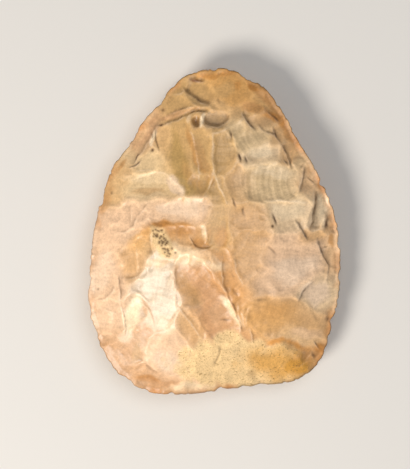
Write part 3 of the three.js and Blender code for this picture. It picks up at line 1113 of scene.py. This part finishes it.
    def patina(self, side: Side, face: Face, finish: PatinatedFlint) -> np.ndarray:
        """Tints each point of a face.

        Args:
            side: Which face.
            face: Its points.
            finish: How the tints blend.

        Returns:
            Linear red, green, blue and opacity at each point.
        """
        x, y = face.across, face.along
        _, winner, scars = self.cuts(side, x, y)
        x, y = bent(x, y, OUTLINE_BENDS)
        total, colour = 0, 0
        for number, scar in enumerate(scars):
            if scar.tint:
                forward, sideways = scar.place(x, y)
                share = np.exp(-finish.blend * (forward**2 + sideways**2))
                share = share * (1 + finish.own_tint * (winner == number))
                total, colour = total + share, colour + share[:, None] * linear(scar.tint.value)
        colour = colour / total[:, None]
        colour = np.stack([face.neighbours_mean(band, finish.evening) for band in colour.T], axis=1)
        for stain in STAINS if side is Side.UPPER else LOWER_STAINS:
            share = stain.cover(x, y)[:, None]
            colour = colour * (1 - share) + linear(stain.colour.value) * share
        rim = smoothstep(1 - finish.rim_width, 1, face.share + 0.03 * noise(x, y, 3, 91))
        rim = (rim * np.clip(patchy(x, y, 0.3, (0.8, 7, 92)), 0, 1))[:, None]
        colour = colour * (1 - rim) + linear(finish.rim) * rim
        return np.hstack([colour, np.ones_like(rim)])

    def darkening(self, side: Side, face: Face, height: Field, finish: PatinatedFlint) -> Field:
        """Gives how dark each point is made by dirt and painted shade, from the named marks and from its
        hollows.
        """
        dirt_and_shade = finish.hollow_dirt_and_shade * smoothstep(*finish.hollow_mm, -face.proud(height, finish.hollow_reach))
        if side is Side.UPPER:
            for mark in (*STEP_EDGES, *GROOVES, *PITS, *RIND_DOTS):
                dirt_and_shade = np.maximum(dirt_and_shade, mark.darkening(face.across, face.along))
        return np.clip(dirt_and_shade, 0, 1)

    def painted_highlight(self, side: Side, face: Face, height: Field, finish: PatinatedFlint) -> Field:
        """Gives how strong the painted highlight is at each point, along the named lines and wherever a
        ridge stands proud.
        """
        x, y = face.across, face.along
        proud = smoothstep(*finish.ridge_mm, face.proud(height, finish.ridge_reach))
        painted_highlight = finish.ridge_highlight * proud * np.clip(patchy(x, y, 0.6, (0.6, 2.7, 81)), 0, 1)
        if side is Side.UPPER:
            painted_highlight = np.max([painted_highlight, *(line.highlight_line(x, y) for line in (*STEP_EDGES, *ARRISES))], axis=0)
        return painted_highlight * smoothstep(*finish.highlight_stops, face.share)

    def masks(
        self, side: Side, face: Face, height: Field, finish: PatinatedFlint
    ) -> dict[str, np.ndarray]:
        """Works out all that the finish has to know about each point of a face.

        Args:
            side: Which face.
            face: Its points.
            height: How high each of them stands.
            finish: What the stone is made of.

        Returns:
            A number, or a row of them, at each point, by name.
        """
        flow, streaks = self.flow(side, face)
        # The swell is painted light and shade: places that stand proud are lightened, hollows darkened.
        swell = np.tanh(face.proud(height, finish.swell_shade_reach) / finish.swell_shade_mm)
        masks = {"patina": self.patina(side, face, finish), "flow": flow, "streaks": streaks, "swell": swell}
        masks["dirt_and_shade"] = self.darkening(side, face, height, finish)
        masks["painted_highlight"] = self.painted_highlight(side, face, height, finish)
        for name, stains in (("rind", RIND), ("gold", RIND_GOLD)):
            masks[name] = np.zeros_like(height)
            if side is Side.UPPER:
                masks[name] = cover(stains, face.across, face.along)
        return masks

    def build(self, finish: PatinatedFlint) -> bpy.types.Object:
        """Makes the stone in the frame, in place of the plain solid.

        Args:
            finish: What the stone is made of.

        Returns:
            The finished piece.
        """
        margin = 6 * self.upper_rings
        faces, points, masks = [], [], []
        for side, rings in ((Side.UPPER, self.upper_rings), (Side.LOWER, self.lower_rings)):
            face = self.face(rings, margin)
            raw = self.heights(side, face)
            height = face.neighbours_mean(raw, 1, self.settling)
            if side is Side.LOWER:
                height = np.where(raw <= self.rest_wear, self.rest_wear, height)
            faces.append(face)
            points.append(np.stack([face.across, face.along, height], axis=1))
            masks.append(self.masks(side, face, height, finish))
        # The two faces share the last ring, whose height is the middle of the dulled edge.
        edge, shared = (len(face.across) - margin for face in faces)
        points[0][edge:, 2] = (points[0][edge:, 2] + points[1][shared:, 2]) / 2
        numbers = np.arange(len(points[1])) + len(points[0])
        numbers[shared:] = np.arange(edge, len(points[0]))
        triangles = np.concatenate([faces[0].triangles, numbers[faces[1].triangles][:, ::-1]])
        vertices = np.concatenate([points[0], points[1][:shared]])
        mesh = bpy.data.meshes.new(self.name)
        mesh.from_pydata(self.fitted(vertices).tolist(), [], triangles.tolist())
        for name, top in masks[0].items():
            values = np.concatenate([top, masks[1][name][:shared]])
            kind, field = KEPT_AS[values.size // len(values)]
            mesh.attributes.new(name, kind, "POINT").data.foreach_set(field, values.ravel())
        mesh.polygons.foreach_set("use_smooth", np.ones(len(triangles), bool))
        mesh.materials.append(finish.material())
        mesh.validate()
        stone = bpy.data.objects.new(self.name, mesh)
        bpy.context.scene.collection.objects.link(stone)
        return stone

    def fitted(self, vertices: np.ndarray) -> np.ndarray:
        """Fits the drawing's points to the frame's solid: same middle, same length, same resting face."""
        low, high = (np.array(corner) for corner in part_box("hand_axe"))
        least, most = vertices.min(axis=0), vertices.max(axis=0)
        scale = (high[1] - low[1]) / (most[1] - least[1])
        placed = (vertices - (least + most) / 2) * scale
        placed[:, :2] += (low[:2] + high[:2]) / 2
        placed[:, 2] += low[2] - placed[:, 2].min()
        return placed


class ShaderGraph:
    """The nodes of one material, added one at a time."""

    def __init__(self, name: str) -> None:
        """Makes a material with no nodes in it."""
        self.material = bpy.data.materials.new(name)
        self.material.use_nodes = True
        self.material.node_tree.nodes.clear()

    def add(
        self,
        kind: str,
        output: str | int | None,
        sockets: dict[str | int, object] | None = None,
        **settings: object,
    ) -> bpy.types.NodeSocket | None:
        """Adds a node with its links.

        Args:
            kind: The node's type, without the "ShaderNode" that they all begin with.
            output: Which of its outputs to give back, if it has any.
            sockets: For each input, a value, or the output of another node that feeds it.
            **settings: Values for the node's own settings.

        Returns:
            The output that was asked for.
        """
        tree = self.material.node_tree
        node = tree.nodes.new("ShaderNode" + kind)
        for name, value in settings.items():
            setattr(node, name, value)
        for name, value in (sockets or {}).items():
            if isinstance(value, bpy.types.NodeSocket):
                tree.links.new(value, node.inputs[name])
            else:
                node.inputs[name].default_value = value
        return None if output is None else node.outputs[output]


@dataclass(frozen=True)
class PatinatedFlint:
    """Knapped flint, weathered to a waxy cream and honey skin.

    Struck flint breaks like glass, so its faces are smooth and catch a soft, waxy shine. Long burial
    turned the skin cream and let iron stain it, and the rind of the nodule at the butt is dull chalk.
    """

    blend: float = 1.6  # how sharply one scar's tint gives way to the next
    own_tint: float = 0.7  # how much more a scar's own tint counts inside it
    evening: int = 8  # rounds of evening out that soften where two tints meet
    rim_width: float = 0.07  # how much of the way in the iron stain along the margin reaches
    hollow_dirt_and_shade: float = 0.4  # how dark the dirt and painted shade in the hollows are
    hollow_mm: tuple[float, float] = (0.06, 0.3)  # how deep a hollow is where the dirt and painted shade begin, and are darkest
    hollow_reach: int = 5  # rounds of evening out that give the ground round a hollow
    ridge_highlight: float = 0.25  # how strong the painted highlight along the ridges between scars is
    ridge_mm: tuple[float, float] = (0.05, 0.25)  # how high a ridge is where the painted highlight begins, and is full
    ridge_reach: int = 4
    highlight_stops: tuple[float, float] = (0.99, 0.96)  # shares of the way out between which the painted highlight ends
    swell_shade_mm: float = 0.25  # how high a swelling is that changes the painted light and shade by about three quarters
    swell_shade_reach: int = 14
    # the colour of the freckles, and of the dirt and painted shade in steps, pits, cracks and hollows
    dirt_and_shade: str = "#56371c"
    rim: str = "#cb9361"
    # the colour of the painted highlights along ridges and brows
    painted_sheen: str = "#f4dfc4"
    rind_pale: str = "#e6c696"
    rind_gold: str = "#cd9850"
    rind_speck: str = "#8a6a3c"
    ior: float = 1.54  # quartz
    gloss: float = 0.4  # roughness of the smooth skin
    chalk: float = 0.85  # roughness of the rind
    depth: float = 1.07  # how much deeper the waxy skin makes the colours
    cloud_mm: float = 6.0  # size of the clouds in the patina
    mottle_mm: float = 1.0
    grit_mm: float = 0.9  # specks in the rind, drawn a little coarser than they are so that they show
    ray_mm: tuple[float, float] = (14.0, 1.1)  # length and width of the rays that fan out from each blow
    ring_mm: tuple[float, float] = (2.0, 50.0)  # width and length of the rings that spread from it
    coarse: tuple[float, float] = (4.0, 0.7)  # detail and roughness of the patterns that lie all over
    fine: float = 0.5  # detail of the patterns that spread from a blow
    freckled: tuple[float, float] = (0.68, 0.78)  # values of the mottling where freckles begin, and are full
    specked: tuple[float, float] = (0.56, 0.68)  # the same of the grit, for the rind's specks
    freckle_dirt: float = 0.45
    highlight_strength: float = 0.4
    # How much each pattern lightens and darkens the skin; the swell is painted light and shade, lighter
    # where the ground stands proud and darker in its hollows.
    gains: tuple[tuple[str, float], ...] = (("cloud", 0.12), ("mottle", 0.2), ("rays", 0.06), ("swell", 0.1))
    pore_mm: float = 0.2
    pore_strength: float = 0.25
    # How high each pattern stands in millimetres, and where.
    reliefs: tuple[tuple[str, str, float], ...] = (
        ("rings", "streaks", 0.45),
        ("rays", "streaks", 0.08),
        ("grit", "rind", 0.35),
    )

    def patterns(self, flint: ShaderGraph) -> dict[str, bpy.types.NodeSocket]:
        """Adds the patterns in the skin, and reads what is worked into the mesh.

        Args:
            flint: The material's nodes.

        Returns:
            The output that gives each pattern or mask, by name.
        """
        where = flint.add("TexCoord", "Object")
        flow = flint.add("Attribute", "Vector", attribute_name="flow")
        found = {
            name: flint.add("Attribute", "Fac", attribute_name=name)
            for name in ("streaks", "dirt_and_shade", "painted_highlight", "rind", "gold")
        }
        # The swell, painted light and shade by how proud each place stands.
        swell = flint.add("Attribute", "Fac", attribute_name="swell")
        found["swell"] = flint.add("MapRange", "Result", {"Value": swell, "From Min": -1.0})
        detail, roughness = self.coarse
        for name, size in (("cloud", self.cloud_mm), ("mottle", self.mottle_mm), ("grit", self.grit_mm)):
            sockets = {"Vector": where, "Scale": 1 / (size * MM), "Detail": detail, "Roughness": roughness}
            found[name] = flint.add("TexNoise", "Fac", sockets)
        for name, (away, around) in (("rays", self.ray_mm), ("rings", self.ring_mm)):
            stretch = (1 / away, 1 / around, 1.0)
            stretched = flint.add("VectorMath", 0, {0: flow, 1: stretch}, operation="MULTIPLY")
            sockets = {"Vector": stretched, "Scale": 1.0, "Detail": self.fine}
            found[name] = flint.add("TexNoise", "Fac", sockets)
        for name, pattern, (low, high) in (
            ("freckles", "mottle", self.freckled),
            ("specks", "grit", self.specked),
        ):
            sockets = {"Value": found[pattern], "From Min": low, "From Max": high}
            found[name] = flint.add("MapRange", "Result", sockets)
        return found

    def colour(self, flint: ShaderGraph, found: dict[str, bpy.types.NodeSocket]) -> bpy.types.NodeSocket:
        """Lays the rind, the specks, the painted highlights and the dirt and painted shade over the patina.

        Args:
            flint: The material's nodes.
            found: The patterns and masks.

        Returns:
            The output that gives the skin's colour.
        """
        colour = flint.add("Attribute", "Color", attribute_name="patina")
        tints = {0: found["gold"], 6: rgba(self.rind_pale), 7: rgba(self.rind_gold)}
        rind = flint.add("Mix", 2, tints, data_type="RGBA")
        layers = (
            (rind, found["rind"], 1.0),
            (rgba(self.rind_speck), found["specks"], found["rind"]),
            (rgba(self.dirt_and_shade), found["freckles"], self.freckle_dirt),
            # the painted highlights along ridges and brows, then the dirt and painted shade
            (rgba(self.painted_sheen), found["painted_highlight"], self.highlight_strength),
            (rgba(self.dirt_and_shade), found["dirt_and_shade"], 1.0),
        )
        for tint, mask, strength in layers:
            share = flint.add("Math", "Value", {0: mask, 1: strength}, operation="MULTIPLY")
            colour = flint.add("Mix", 2, {0: share, 6: colour, 7: tint}, data_type="RGBA")
        for name, depth in self.gains:
            sockets = {"Value": found[name], "From Min": 0.25, "From Max": 0.75}
            gain = flint.add("MapRange", "Result", sockets | {"To Min": 1 - depth, "To Max": 1 + depth})
            colour = flint.add("VectorMath", 0, {0: colour, "Scale": gain}, operation="SCALE")
        return flint.add("HueSaturation", "Color", {"Saturation": self.depth, "Color": colour})

    def material(self) -> bpy.types.Material:
        """Makes the flint's material."""
        flint = ShaderGraph("patinated_flint")
        found = self.patterns(flint)
        pores = {"Strength": self.pore_strength, "Distance": self.pore_mm * MM, "Height": found["mottle"]}
        normal = flint.add("Bump", "Normal", pores)
        for pattern, mask, depth in self.reliefs:
            sockets = {"Strength": found[mask], "Distance": depth * MM, "Height": found[pattern]}
            normal = flint.add("Bump", "Normal", sockets | {"Normal": normal})
        dull = {"Value": found["rind"], "To Min": self.gloss, "To Max": self.chalk}
        skin = {
            "Base Color": self.colour(flint, found),
            "Roughness": flint.add("MapRange", "Result", dull),
            "IOR": self.ior,
            "Normal": normal,
        }
        flint.add("OutputMaterial", None, {"Surface": flint.add("BsdfPrincipled", "BSDF", skin)})
        return flint.material


@dataclass(frozen=True)
class Studio:
    """A plain pale floor, soft light from low on the left, and a camera straight above."""

    floor: str = "#d9d6d1"
    floor_roughness: float = 0.9
    floor_size: float = 3.0
    lens: float = 100.0
    sensor: float = 36.0
    field_length: float = 0.2002  # how much of the stone's long axis the camera takes in, in metres
    aim: tuple[float, float] = (-0.00405, -0.0012)  # the middle of the view, in metres from the stone's
    key_from: tuple[float, float, float] = (-0.56, -0.52, 0.78)
    key_power: float = 10.4
    key_tint: str = "#fff8ef"
    key_size: float = 0.4
    fill_from: tuple[float, float, float] = (0.25, 0.2, 1.1)
    fill_power: float = 5.0
    fill_size: float = 0.9
    air: str = "#c9ccd2"
    air_strength: float = 0.35

    def build(self) -> None:
        """Sets up the floor, the lights, the air and the camera."""
        self.lay_floor()
        key = self.add_light("key_light", self.key_from, self.key_power, self.key_size)
        key.color = linear(self.key_tint)
        self.add_light("fill_light", self.fill_from, self.fill_power, self.fill_size)
        scene = bpy.context.scene
        scene.view_settings.view_transform = "Standard"
        scene.world = bpy.data.worlds.new("studio_air")
        scene.world.use_nodes = True
        background = scene.world.node_tree.nodes["Background"]
        background.inputs["Color"].default_value = rgba(self.air)
        background.inputs["Strength"].default_value = self.air_strength
        self.place_camera()

    def lay_floor(self) -> None:
        """Lays the floor that the stone rests on."""
        half = self.floor_size / 2
        mesh = bpy.data.meshes.new("floor")
        corners = [(-half, -half, 0), (half, -half, 0), (half, half, 0), (-half, half, 0)]
        mesh.from_pydata(corners, [], [(0, 1, 2, 3)])
        paper = bpy.data.materials.new("matt_paper")
        paper.use_nodes = True
        sheet = paper.node_tree.nodes["Principled BSDF"]
        sheet.inputs["Base Color"].default_value = rgba(self.floor)
        sheet.inputs["Roughness"].default_value = self.floor_roughness
        mesh.materials.append(paper)
        floor = bpy.data.objects.new("floor", mesh)
        bpy.context.scene.collection.objects.link(floor)

    def add_light(
        self, name: str, place: tuple[float, float, float], power: float, size: float
    ) -> bpy.types.AreaLight:
        """Hangs a soft lamp that faces the stone.

        Args:
            name: What the lamp is called.
            place: Where it hangs, in metres.
            power: Its power, in watts.
            size: How wide it is, in metres.

        Returns:
            The lamp, with white light.
        """
        lamp = bpy.data.lights.new(name, "AREA")
        lamp.shape = "DISK"
        lamp.energy = power
        lamp.size = size
        hung = bpy.data.objects.new(name, lamp)
        hung.location = place
        hung.rotation_mode = "QUATERNION"
        hung.rotation_quaternion = (-Vector(place)).to_track_quat("-Z", "Y")
        hung.visible_camera = False
        bpy.context.scene.collection.objects.link(hung)
        return lamp

    def place_camera(self) -> None:
        """Hangs the camera straight above the stone, looking down."""
        low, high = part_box("hand_axe")
        edge = (low[2] + high[2]) / 2
        lens = bpy.data.cameras.new("camera")
        lens.lens, lens.sensor_width = self.lens, self.sensor
        camera = bpy.data.objects.new("camera", lens)
        distance = self.field_length * self.lens / self.sensor
        middle = ((low[0] + high[0]) / 2, (low[1] + high[1]) / 2)
        camera.location = (middle[0] + self.aim[0], middle[1] + self.aim[1], edge + distance)
        bpy.context.scene.collection.objects.link(camera)
        bpy.context.scene.camera = camera


def main() -> None:
    """Builds the studio and the stone round the frame."""
    logging.basicConfig(level=logging.INFO, format="%(name)s: %(message)s")
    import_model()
    Studio().build()
    LOG.info("studio: floor, two lamps and the camera")
    stone = HandAxe().build(PatinatedFlint())
    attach(stone, "root")
    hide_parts("hand_axe")
    LOG.info("%s: %d triangles", stone.name, len(stone.data.polygons))
    bpy.context.view_layer.update()


if __name__ == "__main__":
    main()
